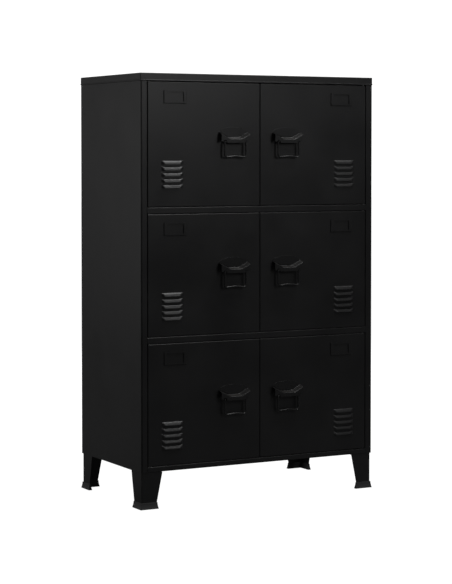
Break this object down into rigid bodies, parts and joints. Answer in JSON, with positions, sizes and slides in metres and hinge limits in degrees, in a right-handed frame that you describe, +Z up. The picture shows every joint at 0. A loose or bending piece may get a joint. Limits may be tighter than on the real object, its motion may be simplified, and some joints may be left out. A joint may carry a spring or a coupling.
{
  "type": "storage cabinet",
  "caption": "Tall steel storage cabinet on four angle legs, with rows of paired hinged doors, louvres, card holders and hanging bail pulls.",
  "frame": {"origin": "on the floor, in the middle of the box that the whole object fills, handles and shoes included", "axes": "+X across the width to the right seen from the front, +Y from the doors to the back panel, +Z up"},
  "size_m": [0.753, 0.4174, 1.2],
  "materials": {
    "carcass_paint": "satin black powder coat with a fine orange-peel",
    "door_paint": "satin black powder coat with a fine orange-peel",
    "handle_metal": "satin black coat on stamped and bent steel",
    "shoe_plastic": "moulded dark grey polyethylene",
    "catch_plastic": "moulded black nylon",
    "washer_plastic": "natural nylon",
    "magnet": "ground sintered magnet",
    "zinc_steel": "bright zinc plate"
  },
  "bodies": {
    "carcass": {"top_panel": "carcass_paint", "left_side_panel": "carcass_paint", "right_side_panel": "carcass_paint", "back_panel": "carcass_paint", "bottom_panel": "carcass_paint", "upper_shelf": "carcass_paint", "lower_shelf": "carcass_paint", "back_panel_screws": "zinc_steel", "hinge_washers": "washer_plastic", "leg_bolts": "zinc_steel", "leg_nuts": "zinc_steel", "catch_magnets": "magnet", "upper_magnetic_catch": "catch_plastic", "middle_magnetic_catch": "catch_plastic", "lower_magnetic_catch": "catch_plastic", "front_left_leg": "carcass_paint", "front_left_shoe": "shoe_plastic", "front_right_leg": "carcass_paint", "front_right_shoe": "shoe_plastic", "rear_left_leg": "carcass_paint", "rear_left_shoe": "shoe_plastic", "rear_right_leg": "carcass_paint", "rear_right_shoe": "shoe_plastic"},
    "upper_left_door": {"upper_left_door_panel": "door_paint", "upper_left_door_stiffener": "door_paint", "upper_left_card_holder": "door_paint", "upper_left_hinge_pins": "zinc_steel", "upper_left_handle_bracket": "handle_metal"},
    "upper_left_pull": {"upper_left_bail": "handle_metal"},
    "upper_right_door": {"upper_right_door_panel": "door_paint", "upper_right_door_stiffener": "door_paint", "upper_right_card_holder": "door_paint", "upper_right_hinge_pins": "zinc_steel", "upper_right_handle_bracket": "handle_metal"},
    "upper_right_pull": {"upper_right_bail": "handle_metal"},
    "middle_left_door": {"middle_left_door_panel": "door_paint", "middle_left_door_stiffener": "door_paint", "middle_left_card_holder": "door_paint", "middle_left_hinge_pins": "zinc_steel", "middle_left_handle_bracket": "handle_metal"},
    "middle_left_pull": {"middle_left_bail": "handle_metal"},
    "middle_right_door": {"middle_right_door_panel": "door_paint", "middle_right_door_stiffener": "door_paint", "middle_right_card_holder": "door_paint", "middle_right_hinge_pins": "zinc_steel", "middle_right_handle_bracket": "handle_metal"},
    "middle_right_pull": {"middle_right_bail": "handle_metal"},
    "lower_left_door": {"lower_left_door_panel": "door_paint", "lower_left_door_stiffener": "door_paint", "lower_left_card_holder": "door_paint", "lower_left_hinge_pins": "zinc_steel", "lower_left_handle_bracket": "handle_metal"},
    "lower_left_pull": {"lower_left_bail": "handle_metal"},
    "lower_right_door": {"lower_right_door_panel": "door_paint", "lower_right_door_stiffener": "door_paint", "lower_right_card_holder": "door_paint", "lower_right_hinge_pins": "zinc_steel", "lower_right_handle_bracket": "handle_metal"},
    "lower_right_pull": {"lower_right_bail": "handle_metal"}
  },
  "joints": [
    {"name": "upper_left_door_hinge", "type": "hinge", "parent": "carcass", "child": "upper_left_door", "pos_m": [-0.3465, -0.18775, 1.00465], "axis": [0, 0, -1], "range_deg": [0, 110]},
    {"name": "upper_left_bail_pivot", "type": "hinge", "parent": "upper_left_door", "child": "upper_left_pull", "pos_m": [-0.086, -0.20375, 1.0133], "axis": [-1, 0, 0], "range_deg": [-10, 90]},
    {"name": "upper_right_door_hinge", "type": "hinge", "parent": "carcass", "child": "upper_right_door", "pos_m": [0.3465, -0.18775, 1.00465], "axis": [0, 0, 1], "range_deg": [0, 110]},
    {"name": "upper_right_bail_pivot", "type": "hinge", "parent": "upper_right_door", "child": "upper_right_pull", "pos_m": [0.086, -0.20375, 1.0133], "axis": [-1, 0, 0], "range_deg": [-10, 90]},
    {"name": "middle_left_door_hinge", "type": "hinge", "parent": "carcass", "child": "middle_left_door", "pos_m": [-0.3465, -0.18775, 0.64375], "axis": [0, 0, -1], "range_deg": [0, 110]},
    {"name": "middle_left_bail_pivot", "type": "hinge", "parent": "middle_left_door", "child": "middle_left_pull", "pos_m": [-0.086, -0.20375, 0.649], "axis": [-1, 0, 0], "range_deg": [-10, 90]},
    {"name": "middle_right_door_hinge", "type": "hinge", "parent": "carcass", "child": "middle_right_door", "pos_m": [0.3465, -0.18775, 0.64375], "axis": [0, 0, 1], "range_deg": [0, 110]},
    {"name": "middle_right_bail_pivot", "type": "hinge", "parent": "middle_right_door", "child": "middle_right_pull", "pos_m": [0.086, -0.20375, 0.649], "axis": [-1, 0, 0], "range_deg": [-10, 90]},
    {"name": "lower_left_door_hinge", "type": "hinge", "parent": "carcass", "child": "lower_left_door", "pos_m": [-0.3465, -0.18775, 0.28625], "axis": [0, 0, -1], "range_deg": [0, 110]},
    {"name": "lower_left_bail_pivot", "type": "hinge", "parent": "lower_left_door", "child": "lower_left_pull", "pos_m": [-0.086, -0.20375, 0.2915], "axis": [-1, 0, 0], "range_deg": [-10, 90]},
    {"name": "lower_right_door_hinge", "type": "hinge", "parent": "carcass", "child": "lower_right_door", "pos_m": [0.3465, -0.18775, 0.28625], "axis": [0, 0, 1], "range_deg": [0, 110]},
    {"name": "lower_right_bail_pivot", "type": "hinge", "parent": "lower_right_door", "child": "lower_right_pull", "pos_m": [0.086, -0.20375, 0.2915], "axis": [-1, 0, 0], "range_deg": [-10, 90]}
  ]
}
